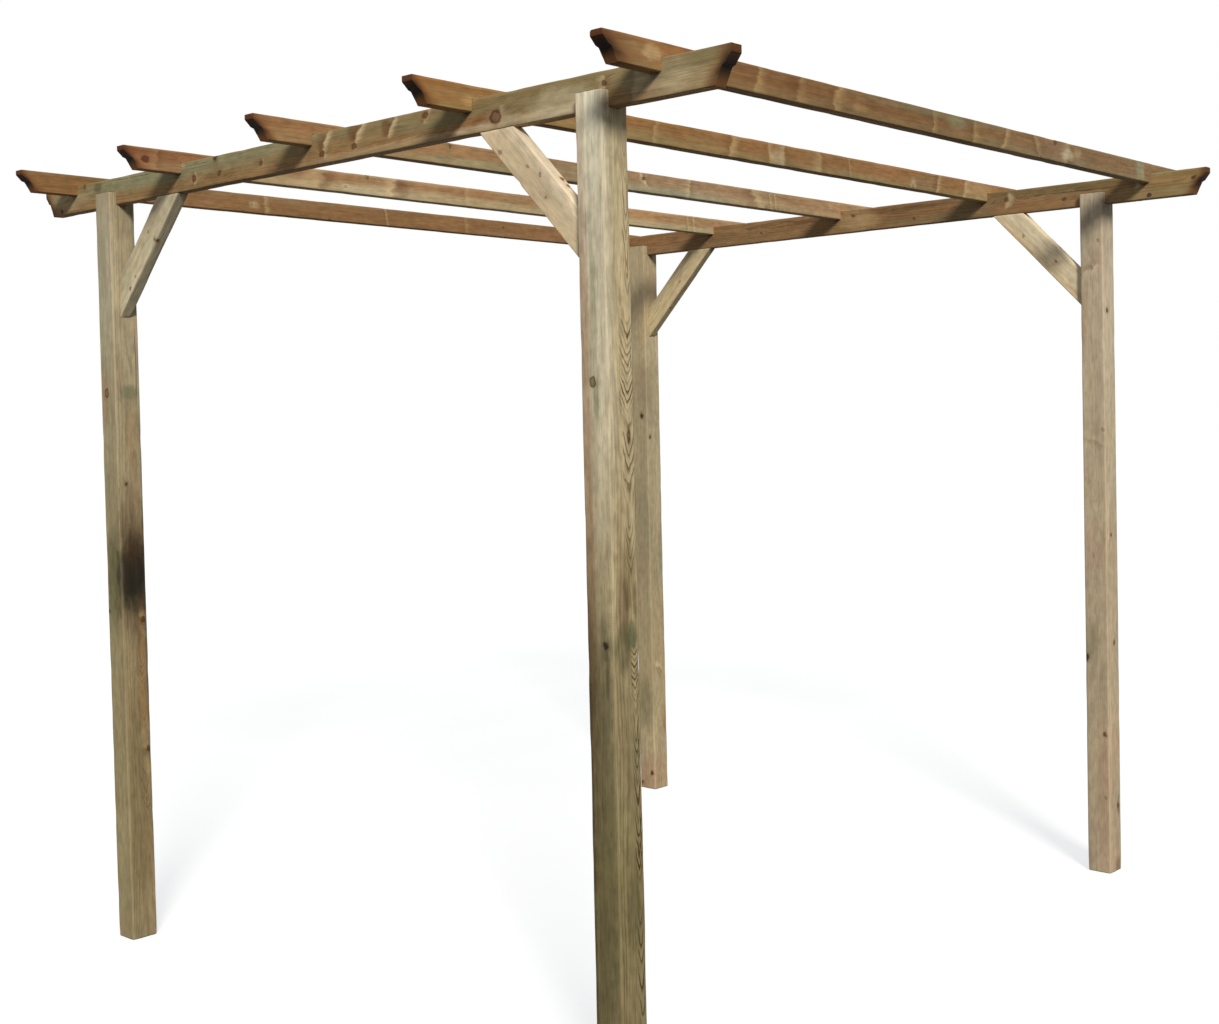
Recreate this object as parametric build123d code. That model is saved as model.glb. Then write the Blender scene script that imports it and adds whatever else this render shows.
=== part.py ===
from build123d import *
import os

# Open garden pergola: four forked posts, two beams, four knee braces, five notched rafters.
# Millimetres, +Z up. The floor is z = 0 and the frame is centred on x = 0, y = 0.
# The beams run along X and the rafters run along Y.

# Posts
post_width = 90.0
post_edge_radius = 5.0
post_span_x = 2350.0  # over the outer faces, along a beam
post_span_y = 2726.0  # over the outer faces, along a rafter
shoulder_height = 2470.0  # floor to the bottom of the fork
fork_depth = 42.0
fork_clearance = 1.0  # each side of the beam

# Beams
beam_depth = 90.0
beam_thickness = 38.0
beam_length = 3110.0

# Rafters
rafter_depth = 69.0
rafter_thickness = 40.0
rafter_length = 3070.0
rafter_drop = 33.0  # how far a rafter is let down over the beams
notch_clearance = 1.0  # each side of the beam
rafter_centres = [1327.0, 668.0, -20.0, -706.0, -1355.0]  # hand set, so the bays differ

# Knee braces
brace_depth = 90.0
brace_thickness = 38.0
brace_reach = 375.0  # along the beam and down the post, to the lower edge of the brace

# Shaped ends of beams and rafters
end_setback = 49.0  # how far the lower corner stands back from the nose
timber_edge_radius = 3.0

post_offset_x = (post_span_x - post_width) / 2
post_offset_y = (post_span_y - post_width) / 2


def shaped_bar(length, depth, thickness):
    """A bar along X, centred in X and Y, from z = 0 up, with an ogee cut at both ends."""
    nose = length / 2
    fall = depth
    corners = []
    for side in (1, -1):
        top = (side * nose, fall)
        nose_bottom = (side * nose, 0.79 * fall)
        step_outer = (side * (nose - 0.38 * end_setback), 0.52 * fall)
        step_inner = (side * (nose - 0.58 * end_setback), 0.47 * fall)
        belly = (side * (nose - 0.78 * end_setback), 0.25 * fall)
        bottom = (side * (nose - end_setback), 0.0)
        corners.append((top, nose_bottom, step_outer, step_inner, belly, bottom))
    right, left = corners
    with BuildPart() as bar:
        with BuildSketch(Plane.XZ):
            with BuildLine():
                Polyline(right[0], right[1], right[2], right[3])
                ThreePointArc(right[3], right[4], right[5])
                Line(right[5], left[5])
                ThreePointArc(left[5], left[4], left[3])
                Polyline(left[3], left[2], left[1], left[0])
                Line(left[0], right[0])
            make_face()
        extrude(amount=thickness / 2, both=True)
    solid = bar.part
    long_edges = solid.edges().filter_by(Axis.X)
    return fillet(long_edges, timber_edge_radius)


def make_post():
    """A post centred on the Z axis, with a slot along X through its top."""
    post_height = shoulder_height + fork_depth
    block = Box(post_width, post_width, post_height, align=(Align.CENTER, Align.CENTER, Align.MIN))
    block = fillet(block.edges().filter_by(Axis.Z), post_edge_radius)
    slot_width = beam_thickness + 2 * fork_clearance
    slot = Box(2 * post_width, slot_width, 2 * fork_depth, align=(Align.CENTER, Align.CENTER, Align.MIN))
    return block - Pos(0, 0, shoulder_height) * slot


def make_rafter():
    """A rafter along Y, centred in X and Y, from z = 0 up, notched over both beams."""
    bar = Rot(0, 0, 90) * shaped_bar(rafter_length, rafter_depth, rafter_thickness)
    notch_width = beam_thickness + 2 * notch_clearance
    for side in (1, -1):
        notch = Box(2 * rafter_thickness, notch_width, 2 * rafter_drop)
        bar = bar - Pos(0, side * post_offset_y, 0) * notch
    return bar


def make_brace(side):
    """A brace in the XZ plane under the beam, leaning away from a post face at x = 0.

    The side is 1 where the brace rises toward +X. The beam's underside is z = 0.
    """
    inner_reach = brace_reach - brace_depth * 2**0.5
    outline = [
        (side * inner_reach, 0.0),
        (side * brace_reach, 0.0),
        (0.0, -brace_reach),
        (0.0, -inner_reach),
    ]
    with BuildPart() as brace:
        with BuildSketch(Plane.XZ):
            with BuildLine():
                Polyline(*outline, close=True)
            make_face()
        extrude(amount=brace_thickness / 2, both=True)
    solid = brace.part
    long_edges = [edge for edge in solid.edges() if edge.length > brace_reach]
    return fillet(long_edges, timber_edge_radius)


nodes = {}
beam_bottom = shoulder_height
rafter_bottom = beam_bottom + beam_depth - rafter_drop

for row_name, row_side in (("front", -1), ("back", 1)):
    row_y = row_side * post_offset_y
    beam = shaped_bar(beam_length, beam_depth, beam_thickness)
    nodes["beam_" + row_name] = Pos(0, row_y, beam_bottom) * beam
    for end_name, end_side in (("right", 1), ("left", -1)):
        where = row_name + "_" + end_name
        nodes["post_" + where] = Pos(end_side * post_offset_x, row_y, 0) * make_post()
        face_x = end_side * (post_offset_x - post_width / 2)
        nodes["brace_" + where] = Pos(face_x, row_y, beam_bottom) * make_brace(-end_side)

for number, centre_x in enumerate(rafter_centres, start=1):
    nodes["rafter_" + str(number)] = Pos(centre_x, 0, rafter_bottom) * make_rafter()

os.makedirs("parts", exist_ok=True)
for name, solid in nodes.items():
    export_step(solid, "parts/" + name + ".step")
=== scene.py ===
import itertools
import math
import random
from collections import namedtuple

import bmesh
import bpy
import numpy as np
from mathutils import Matrix, Vector


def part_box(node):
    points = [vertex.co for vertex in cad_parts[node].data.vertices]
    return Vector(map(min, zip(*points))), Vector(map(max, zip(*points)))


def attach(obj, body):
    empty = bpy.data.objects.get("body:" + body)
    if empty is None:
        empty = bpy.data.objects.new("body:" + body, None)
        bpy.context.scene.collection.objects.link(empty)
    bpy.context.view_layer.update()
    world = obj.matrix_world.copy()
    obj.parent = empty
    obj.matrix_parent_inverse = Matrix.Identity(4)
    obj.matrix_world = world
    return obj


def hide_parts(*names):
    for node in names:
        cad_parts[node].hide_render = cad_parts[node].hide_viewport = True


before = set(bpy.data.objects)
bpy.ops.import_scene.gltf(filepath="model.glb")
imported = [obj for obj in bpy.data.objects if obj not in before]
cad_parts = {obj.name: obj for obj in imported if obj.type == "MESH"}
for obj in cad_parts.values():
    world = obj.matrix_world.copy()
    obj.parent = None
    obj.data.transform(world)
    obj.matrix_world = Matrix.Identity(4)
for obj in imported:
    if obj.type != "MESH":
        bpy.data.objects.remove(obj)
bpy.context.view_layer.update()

# Timber pergola. Every timber is a fine mesh laid exactly on its CAD piece: planed faces with
# eased arrises, drying cracks, sawn ends and knots, and a solid-wood material whose growth rings
# run through the piece. Metres throughout. In a timber's own axes X runs along it.

MM = 0.001
FIRST_SEED = 11
SEED_STEP = 7

# Sizes that the frame's boxes don't give, as the CAD has them
BRACE_DEPTH = 90 * MM
POST_EDGE_RADIUS = 5 * MM
BAR_EDGE_RADIUS = 3 * MM
FORK_DEPTH = 42 * MM
FORK_HALF_WIDTH = 20 * MM
NOTCH_HALF_WIDTH = 20 * MM
NOTCH_DEPTH = 33 * MM
END_SETBACK = 49 * MM
# Shaped end, from the nose inward: shares of the setback, and of the depth from the lower edge
END_PROFILE = ((0.0, 0.79), (0.38, 0.52), (0.58, 0.47), (0.78, 0.25), (1.0, 0.0))
# From the middle of the pergola to the middle of a beam
BEAM_OFFSET = -sum(corner.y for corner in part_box("beam_front")) / 2

# Mesh fineness
ACROSS_PITCH = 4.0 * MM
ALONG_PITCH = 10.0 * MM
END_PITCH = 2.6 * MM
CORNER_STEPS = 4
CAP_RINGS = 5
SAW_EDGE = 1.2 * MM  # rounding where a side meets a sawn end
FOOT_EDGE = 3.0 * MM
NOTCH_SLACK = 0.05 * MM
MAP_GAP = 6 * MM  # between the parts of the baking map

# Growth rings: how far the pith wanders and the rings waver, and how nested V's fade at their ends
PITH_DRIFT = 28 * MM
RIPPLE = 4 * MM
WOBBLE = 1.8 * MM
ARCH_FADE = 70 * MM

# How deep a mark goes into the wood, and how far the soaked ends wander
STAIN_DEPTH = 30 * MM
CURL_DEPTH = 25 * MM
SOAK_WANDER = 24 * MM

# How far sawing, drying and wear move the surface
WAVE = 0.35 * MM
SAW_MARKS = 0.10 * MM
END_MARKS = 0.25 * MM
ARRIS_WEAR = 1.6 * MM
FOOT_WEAR = 1.2 * MM
FOOT_WORN = 40 * MM  # how high up the foot is worn
CRACK_WANDER = 3.0 * MM
CRACK_REACH = 12 * MM  # how far to each side the surface follows a crack
CRACK_FADE = 80 * MM
BOW = 1.2 * MM


def srgb(red, green, blue):
    """A colour in 8-bit display values, as the linear values that shaders take."""
    def linear(value):
        value /= 255
        return value / 12.92 if value <= 0.04045 else ((value + 0.055) / 1.055) ** 2.4
    return linear(red), linear(green), linear(blue), 1.0


def add_object(name, data):
    made = bpy.data.objects.new(name, data)
    bpy.context.scene.collection.objects.link(made)
    return made


# ------------------------------------------------------------------ timbers and their own axes

DIRECTIONS = {
    "front": Vector((0, -1, 0)),
    "back": Vector((0, 1, 0)),
    "right": Vector((1, 0, 0)),
    "left": Vector((-1, 0, 0)),
    "top": Vector((0, 0, 1)),
    "under": Vector((0, 0, -1)),
}


class Timber:
    """A piece of timber: its own axes in the row frame, and its half sizes in them."""

    def __init__(self, name):
        self.name = name
        self.kind = name.split("_")[0]
        self.edge_radius = POST_EDGE_RADIUS if self.kind == "post" else BAR_EDGE_RADIUS
        self.directions = dict(DIRECTIONS)
        low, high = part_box(name)
        size = high - low
        origin = (low + high) / 2
        hand = 1 if origin.x > 0 else -1
        if self.kind == "post":
            along, across = Vector((0, 0, 1)), Vector((0, 1, 0))
            self.half_y, self.half_z = size.y / 2, size.x / 2
            origin.z = low.z
            self.start, self.end = 0.0, size.z
        elif self.kind == "beam":
            along, across = Vector((1, 0, 0)), Vector((0, 1, 0))
            self.half_y, self.half_z = size.y / 2, size.z / 2
            self.start, self.end = -size.x / 2, size.x / 2
        elif self.kind == "rafter":
            along, across = Vector((0, 1, 0)), Vector((-1, 0, 0))
            self.half_y, self.half_z = size.x / 2, size.z / 2
            self.start, self.end = -size.y / 2, size.y / 2
        else:
            slope = math.sqrt(0.5)
            along, across = Vector((-hand * slope, 0, slope)), Vector((0, hand, 0))
            self.half_y, self.half_z = size.y / 2, BRACE_DEPTH / 2
            half_run = (size.x - BRACE_DEPTH * slope) / 2
            post_face = high.x if hand > 0 else low.x
            origin = Vector((post_face - hand * half_run, origin.y, high.z - half_run))
            self.start, self.end = -half_run / slope, half_run / slope
            self.directions["upper"] = Vector((hand * slope, 0, slope))
            self.directions["lower"] = -self.directions["upper"]
        self.turn = Matrix((along, across, along.cross(across))).transposed()
        self.matrix = Matrix.Translation(origin) @ self.turn.to_4x4()

    def normal(self, side):
        """A side's outward direction, in the timber's own axes."""
        turned = self.turn.transposed() @ self.directions[side]
        return Vector([round(value) for value in turned])

    def sideways(self, side):
        return Vector((1, 0, 0)).cross(self.normal(side))

    def half_through(self, side):
        return self.half_y if self.normal(side).y else self.half_z

    def half_across(self, side):
        return self.half_z if self.normal(side).y else self.half_y

    def place(self, side, along, across):
        """A point on a side, from its place along the timber and across that side."""
        out = self.normal(side) * self.half_through(side)
        return Vector((along, 0, 0)) + self.sideways(side) * across + out

    def measures(self, side, along, across, through):
        """Three lengths, put in the order of the timber's own axes."""
        if self.normal(side).y:
            return Vector((along, through, across))
        return Vector((along, across, through))

    def scales(self, *measures):
        """The same as one over each, to scale a point with."""
        return tuple(1 / value for value in self.measures(*measures))


# ------------------------------------------------------------------ looks of each timber

# Marks on a timber, in millimetres: along it, and across one of its sides
Knot = namedtuple("Knot", "side along across radius core swirl", defaults=(1.0,))
Crack = namedtuple("Crack", "side across start end width depth", defaults=(0.8, 6.0))
Stain = namedtuple("Stain", "side along across length width colour strength")
# A whorl of branches bends the grain: brown up to a line, then pale, partly the grain's own colour and
# partly painted shade and sheen where the dipping grain meets the light. A negative width turns it round. A
# band is the same, right across the timber.
Curl = namedtuple("Curl", "side along across width reach slant strength", defaults=(0.5, 0.8))
Band = namedtuple("Band", "along width strength slant", defaults=(0.15,))
# Wood torn off the arris between two sides
Chip = namedtuple("Chip", "first second along length depth")
# A strip of nested V's in the grain
Arch = namedtuple("Arch", "side across width start end spacing slope strength")

BLEACHED = srgb(248, 240, 218)
PALE = srgb(222, 205, 168)
CREAM = srgb(222, 200, 156)
GREEN = srgb(152, 156, 124)
MOSS = srgb(112, 112, 78)
LICHEN = srgb(104, 118, 90)
OLIVE = srgb(120, 104, 62)
DARK = srgb(60, 44, 28)
SOAKED = srgb(44, 31, 21)
# The grey of a painted shadow
PAINTED_SHADOW = srgb(45, 42, 35)
RUSSET = srgb(122, 76, 40)
ORANGE = srgb(172, 114, 62)
PINK = srgb(178, 136, 108)
BROWN = srgb(112, 76, 46)
TAN = srgb(196, 168, 120)
# Sawn ends: the lower and upper part of a soaked one, its middle, a dry one, and their late wood
END_LOWER = srgb(136, 92, 50)
END_UPPER = srgb(108, 66, 34)
END_MIDDLE = srgb(30, 21, 15)
END_DRY = srgb(46, 34, 24)
END_LATE = srgb(24, 18, 13)
# Painted shade inside open cracks
CRACK_SHADE = srgb(34, 26, 18)

# Core, rim, and the wood close round the knot
KNOT_COLOURS = {
    "brown": (srgb(122, 84, 50), srgb(70, 46, 28), srgb(150, 112, 70)),
    "red": (srgb(126, 78, 50), srgb(84, 50, 32), srgb(160, 122, 84)),
    "black": (srgb(62, 48, 36), srgb(34, 26, 20), srgb(126, 104, 72)),
    "pale": (srgb(170, 140, 100), srgb(128, 100, 66), srgb(206, 184, 142)),
    "ring": (srgb(160, 146, 116), srgb(26, 20, 15), srgb(196, 184, 156)),
    "oval": (srgb(156, 116, 80), srgb(44, 28, 18), srgb(176, 146, 112)),
    "faint": (srgb(172, 146, 112), srgb(136, 108, 78), srgb(198, 176, 140)),
}

# What the rows of each kind say. A side's name stands before the rows on that side.
ROWS = {
    "knots": Knot, "arches": Arch, "bands": Band, "curls": Curl, "stains": Stain, "cracks": Crack,
    "chips": Chip,
}

LOOKS = {}


def describe(name, **look):
    """Files a timber's look under its name.

    pith is how far the centre of the tree is from the timber's own centre, in Y and Z. rings is
    from one growth ring to the next, heart the radius of the heartwood, and soak how far the ends
    are stained. All are in millimetres. tint gives the tone at places along the timber, in metres.
    contrast is how dark the late wood gets, green and pink are how strongly clouds of those colours
    show, and streaks is how strong the streaks along the grain are.
    """
    for title, kind in ROWS.items():
        side, rows = (), []
        for given in look.get(title, ()):
            if isinstance(given, str):
                side = (given,)
            else:
                rows.append(kind(*side, *given))
        look[title] = rows
    for title in ("sap", "late", "heart_colour"):
        look[title] = srgb(*look[title])
    LOOKS[name] = look


describe(
    "post_front_right", sap=(220, 208, 176), late=(112, 90, 58), heart_colour=(214, 196, 162),
    pith=(14, 74), rings=3.6, heart=60, contrast=0.46, green=0.12, pink=0.25, streaks=1.3,
    # Darker towards the foot: partly painted shade of trees, partly the damp darkening of a post's foot.
    tint=(
        (0.0, (0.37, 0.33, 0.24)), (0.6, (0.33, 0.30, 0.20)), (1.05, (0.43, 0.40, 0.30)),
        (1.3, (0.60, 0.55, 0.43)), (1.8, (0.73, 0.68, 0.58)), (2.5, (0.88, 0.86, 0.78)),
    ),
    knots=("front", (1813, -7, 9, "ring", 1.3), (1173, 16, 7, "black")),
    arches=(
        "right", (23, 33, 1715, 1990, 23, 1.8, 1.0), (24, 28, 1480, 1745, 46, 2.8, 1.0),
        (22, 17, 1290, 1500, 40, 4.0, 0.9), (30, 16, 1990, 2440, 70, 9, 0.9),
        (28, 14, 560, 1040, 42, 5.0, 1.4), (28, 15, 1010, 1190, 16, 1.6, 1.6),
        "front", (38, 9, 1190, 1270, 8, 0.5, 0.8), (-36, 10, 1500, 2200, 46, -7.0, 0.8),
        "right", (28, 13, 60, 560, 56, 5.0, 1.0),
    ),
    stains=(
        "front", (2150, 4, 1500, 120, BLEACHED, 0.95), (1850, 0, 700, 24, GREEN, 0.4),
        (1755, 4, 100, 18, LICHEN, 0.35), (1870, 8, 100, 26, BLEACHED, 0.7),
        # The moss-coloured patch low on the front, about 560 along, is likewise partly painted tree shade.
        (1600, -30, 1700, 36, PINK, 0.55), (560, -10, 1150, 90, MOSS, 0.45),
        (1150, 15, 30, 16, LICHEN, 0.5), (1110, 22, 110, 18, DARK, 0.35), (1225, 12, 60, 16, LICHEN, 0.22),
        (640, -42, 1300, 16, DARK, 0.45),
        "right", (1262, -6, 150, 44, BROWN, 0.5), (1275, 34, 90, 12, DARK, 0.5),
        # The olive patch at 1350 along on the right side is partly dark streaks, partly painted shadow.
        (1190, 16, 70, 44, LICHEN, 0.7), (1160, -14, 110, 56, MOSS, 0.5), (1350, 14, 160, 50, OLIVE, 0.45),
        "front", (1080, -8, 360, 90, DARK, 0.22), (1110, -34, 260, 30, DARK, 0.3),
        "right", (500, 5, 160, 60, MOSS, 0.35), (2300, 4, 900, 90, TAN, 0.25),
    ),
    cracks=(
        "right", (6, 1190, 1370, 1.2), (17, 1200, 1360, 1.2), (34, 560, 980, 1.2),
        (38, 2060, 2400, 0.8, 3.0),
        "back", (-6, 300, 1500),
        "left", (12, 900, 2200),
    ),
)
describe(
    "post_front_left", sap=(186, 171, 139), late=(118, 98, 66), heart_colour=(178, 154, 116),
    pith=(16, 68), rings=3.4, heart=60, contrast=0.36, green=0.40, pink=0.30, streaks=0.8,
    tint=(
        (0.0, (0.72, 0.67, 0.56)), (0.7, (0.63, 0.58, 0.47)), (1.3, (0.63, 0.60, 0.51)),
        (1.7, (0.77, 0.77, 0.71)), (2.2, (0.88, 0.87, 0.84)), (2.5, (0.76, 0.74, 0.69)),
    ),
    knots=(
        "front", (1845, -9, 11, "oval", 1.2),
        "right", (1539, -17, 5, "brown"), (1080, 30, 7, "brown", 2.0), (640, 34, 6, "brown", 2.5),
        "front", (1110, -38, 5, "black"),
    ),
    arches=("right", (20, 22, 380, 1000, 30, 3.0, 0.5), "front", (0, 24, 1500, 2200, 60, 6.0, 0.35)),
    curls=("right", (1080, 32, 34, 20), (640, 30, 34, 20, 0.3)),
    stains=(
        "right", (1845, 4, 46, 60, LICHEN, 0.5),
        "front", (700, 0, 1400, 80, GREEN, 0.45), (600, 0, 900, 90, PALE, 0.4),
        (2250, 0, 600, 100, BLEACHED, 0.2), (1220, 0, 300, 80, MOSS, 0.7),
        # The soft dark patch on the right side, about 1240 along, is a painted shadow: a wide soft rim and
        # a dark core.
        "right", (1240, 0, 360, 130, PAINTED_SHADOW, 0.6), (1240, 4, 220, 110, PAINTED_SHADOW, 0.96),
        (1400, 0, 260, 90, BROWN, 0.3), (583, 26, 60, 28, CREAM, 0.6), (687, 15, 50, 20, CREAM, 0.45),
        (900, 20, 420, 36, ORANGE, 0.32), (1700, 10, 220, 50, ORANGE, 0.25), (1150, 42, 700, 16, DARK, 0.5),
        "front", (1850, -20, 200, 50, PINK, 0.4),
        "right", (420, 0, 700, 80, OLIVE, 0.35),
        "front", (2150, -10, 500, 60, GREEN, 0.35),
    ),
    cracks=(
        "right", (33, 1750, 2080, 1.2, 4.0), (37, 380, 700, 1.0),
        "front", (8, 200, 900, 0.6, 3.0),
        "left", (4, 500, 1700),
        "back", (10, 1000, 2100),
    ),
)
describe(
    "post_back_right", sap=(196, 176, 140), late=(146, 120, 84), heart_colour=(190, 160, 124),
    pith=(66, 30), rings=4.0, heart=50, contrast=0.22, green=0.15, pink=0.3, streaks=0.5,
    tint=(
        (0.0, (0.90, 0.88, 0.92)), (0.8, (0.89, 0.89, 0.94)), (1.6, (0.92, 0.93, 0.99)),
        (2.5, (0.96, 1.0, 1.14)),
    ),
    knots=(
        "front", (2337, 27, 5, "faint"), (2237, 0, 6, "faint", 1.8), (1642, 37, 6, "faint"),
        (801, -42, 9, "black", 0.6), (516, 29, 6, "red"), (281, 30, 5, "faint"),
        "right", (2081, -16, 6, "black"), (1254, -7, 5, "brown"), (852, 6, 6, "red"), (244, 22, 7, "red"),
    ),
    arches=("front", (4, 22, 900, 1500, 46, 4.0, 0.35)),
    curls=(
        "front", (2237, 0, -40, 34, 0.6), (1600, 10, 30, 50, 0.5, 0.5),
        "right", (244, 26, 30, 16, -0.4),
    ),
    stains=(
        "right", (1320, -30, 260, 18, CREAM, 0.6), (244, 26, 90, 12, DARK, 0.5),
        "front", (801, -42, 34, 20, DARK, 0.6),
        "right", (20, 20, 60, 40, BROWN, 0.5),
        "front", (860, -20, 140, 60, MOSS, 0.3),
        "right", (500, -30, 420, 14, CREAM, 0.5),
        "front", (300, 20, 560, 40, PINK, 0.3),
        "right", (1900, 0, 1100, 90, PALE, 0.3),
    ),
    cracks=("left", (6, 300, 1600), "back", (-12, 1200, 2300)),
)
describe(
    "post_back_left", sap=(187, 169, 133), late=(132, 108, 72), heart_colour=(184, 158, 120),
    pith=(20, 62), rings=3.6, heart=50, contrast=0.30, green=0.35, pink=0.22, streaks=0.7,
    tint=(
        (0.0, (0.94, 0.92, 0.90)), (0.5, (0.92, 0.92, 0.88)), (1.2, (0.94, 0.95, 0.92)),
        (2.5, (0.98, 0.98, 0.98)),
    ),
    knots=(
        "front", (1731, 14, 8, "black"), (75, 27, 6, "black"), (25, -31, 6, "red"),
        "right", (1633, -27, 5, "black"), (560, 0, 6, "pale", 2.0),
    ),
    arches=("right", (0, 26, 200, 900, 40, 4.0, 0.4)),
    curls=("right", (560, 0, 40, 26)),
    stains=(
        "front", (400, 0, 220, 90, MOSS, 0.5),
        "right", (323, 30, 160, 30, ORANGE, 0.4),
        "front", (60, 0, 160, 90, PINK, 0.5),
        "right", (90, 0, 160, 90, PINK, 0.3),
        "front", (2150, 20, 200, 40, ORANGE, 0.15),
        "right", (1700, 0, 1200, 90, PALE, 0.25),
    ),
    cracks=("right", (-36, 560, 900, 1.0, 7.0), (-34, 1050, 1330), "left", (0, 400, 1800)),
)
describe(
    "beam_front", sap=(154, 134, 94), late=(104, 80, 48), heart_colour=(156, 120, 78),
    pith=(30, -40), rings=3.4, heart=62, contrast=0.5, green=0.30, pink=0.10, soak=38,
    tint=(
        (-1.5, (0.94, 0.96, 0.94)), (-0.4, (0.96, 0.96, 0.93)), (0.6, (0.97, 0.94, 0.90)),
        (1.5, (0.95, 1.0, 1.0)),
    ),
    knots=(
        "front", (-616, 12, 9, "red", 1.8), (-478, 11, 7, "brown", 1.2), (-255, 7, 6, "brown"),
        (44, 17, 7, "brown", 1.6), (192, 13, 7, "brown", 1.4), (500, -30, 8, "brown", 1.4),
        (776, 13, 15, "oval", 1.4), (1161, -14, 6, "brown", 2.4), (-1447, 33, 6, "black"),
    ),
    curls=(
        "front", (66, -20, 34, 34, 0.7, 1.0), (217, -26, 40, 36, 0.9, 1.0), (357, -18, 34, 30, 0.7, 1.0),
        (48, 14, 20, 18, -0.3, 0.9), (196, 12, 16, 14, 0.2, 0.8), (-612, 12, 22, 22, 0.1, 1.0),
        (505, -28, 24, 22, 0.6, 0.9), (785, 14, 34, 28, 0.2, 1.0), (1161, -14, -30, 20, 0.4, 0.9),
        (-250, 6, 16, 14, 0.2, 0.7), (1260, 0, 50, 50, 0.2, 0.4),
    ),
    stains=(
        "front", (720, 14, 130, 30, ORANGE, 0.6), (720, 16, 60, 16, BROWN, 0.5),
        (44, -20, 40, 46, BROWN, 0.65), (190, -26, 48, 44, BROWN, 0.7), (336, -18, 40, 44, BROWN, 0.65),
        (-900, -20, 700, 44, GREEN, 0.45), (950, -10, 420, 60, OLIVE, 0.3),
        (-300, -30, 800, 30, GREEN, 0.35), (-480, 14, 160, 16, BROWN, 0.35),
        (1440, 20, 200, 50, CREAM, 0.3), (100, 10, 700, 50, ORANGE, 0.15), (-1200, -23, 50, 30, DARK, 0.5),
        (-700, -36, 60, 24, CREAM, 0.5), (-1400, 0, 260, 60, CREAM, 0.25), (860, 34, 420, 30, PALE, 0.5),
        (1010, 10, 190, 70, PALE, 0.5), (330, 36, 760, 24, PALE, 0.22), (1340, 4, 200, 80, PALE, 0.25),
    ),
    cracks=(
        "back", (6, -900, 700),
        "front", (-34, -1100, -500, 0.5, 3.0),
        "top", (0, -600, 1200, 1.0, 6.0),
    ),
)
describe(
    "beam_back", sap=(146, 114, 76), late=(94, 68, 42), heart_colour=(146, 106, 66),
    pith=(34, 20), rings=3.6, heart=56, contrast=0.5, green=0.22, pink=0.10, soak=28,
    tint=(
        (-1.5, (0.98, 0.98, 0.98)), (0.4, (1.0, 1.0, 1.0)), (1.1, (0.96, 1.04, 1.12)),
        (1.3, (1.2, 1.38, 1.4)), (1.55, (1.25, 1.42, 1.35)),
    ),
    knots=(
        "front", (768, -11, 7, "brown", 2.6), (1011, 11, 6, "brown"), (1511, -13, 6, "black"),
        (1344, 32, 6, "black"), (60, -20, 6, "brown", 2.6), (354, 19, 5, "red"), (-420, 6, 6, "red", 1.6),
    ),
    curls=("front", (770, -8, 40, 30, 0.4), (1300, -20, 50, 30, 0.3, 0.5)),
    stains=(
        "front", (950, -28, 640, 26, OLIVE, 0.5), (900, 20, 500, 30, ORANGE, 0.3),
        (85, 0, 170, 80, TAN, 0.45), (300, -26, 460, 20, DARK, 0.3),
    ),
    cracks=("front", (-14, 860, 1230, 0.7, 4.0), "top", (4, -1200, 300, 1.0, 6.0), "back", (-8, -500, 900)),
)
describe(
    "rafter_1", sap=(144, 120, 84), late=(98, 72, 46), heart_colour=(142, 106, 70),
    pith=(8, 16), rings=3.2, heart=44, contrast=0.28, green=0.25, pink=0.15, soak=62,
    tint=(
        (-1.5, (1.15, 1.05, 0.90)), (-1.0, (0.86, 0.79, 0.70)), (0.0, (0.80, 0.76, 0.68)),
        (0.6, (0.91, 0.98, 1.04)), (1.5, (0.93, 1.02, 1.10)),
    ),
    bands=(
        (-975, 50, 0.7, -0.3), (-802, 50, 0.6, -0.2), (-635, 60, 0.8, -0.4), (-150, 36, 0.6, 0.0),
        (80, 40, 0.7, -0.1), (262, 44, 0.8, -0.6), (465, 36, 0.5, 0.5), (675, -60, 0.5, 0.2),
        (1240, 36, 0.4),
    ),
    stains=(
        "right", (-1370, -4, 60, 30, CREAM, 0.4), (-20, -14, 90, 34, GREEN, 0.5),
        (-20, 14, 90, 30, PINK, 0.3), (-825, -8, 70, 34, BROWN, 0.5), (-520, 10, 70, 24, TAN, 0.35),
        (675, 2, 80, 34, PALE, 0.4), (1220, 0, 60, 60, GREEN, 0.5), (-1250, 20, 180, 30, ORANGE, 0.4),
        (-1250, -20, 220, 20, ORANGE, 0.3), (-150, -26, 800, 24, GREEN, 0.3), (745, -8, 60, 30, TAN, 0.4),
    ),
    cracks=("top", (0, -900, 400, 0.8, 5.0), "left", (8, -300, 800)),
)
describe(
    "rafter_2", sap=(156, 128, 86), late=(106, 74, 44), heart_colour=(156, 108, 66),
    pith=(6, 20), rings=3.4, heart=46, contrast=0.26, green=0.20, pink=0.15, soak=30,
    tint=((-1.5, (1.08, 1.02, 0.82)), (0.0, (0.93, 0.98, 0.98)), (1.5, (0.97, 1.03, 1.06))),
    bands=(
        (-629, 30, 0.5, -0.2), (-267, 50, 0.8, -0.25), (-77, 40, 0.6, 0.0), (5, -50, 0.8, 0.05),
        (200, -70, 0.6, 0.0), (369, 18, 0.5), (937, 34, 0.9, -0.3), (1131, 50, 0.9, -0.3),
    ),
    stains=(
        "right", (1230, 0, 200, 60, TAN, 0.35), (-1340, 6, 80, 30, TAN, 0.3), (-35, 10, 70, 60, PALE, 0.3),
        (-526, -2, 50, 30, BROWN, 0.35),
    ),
    cracks=("top", (4, -300, 900, 0.8, 5.0), "left", (-6, -900, 100)),
)
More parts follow.
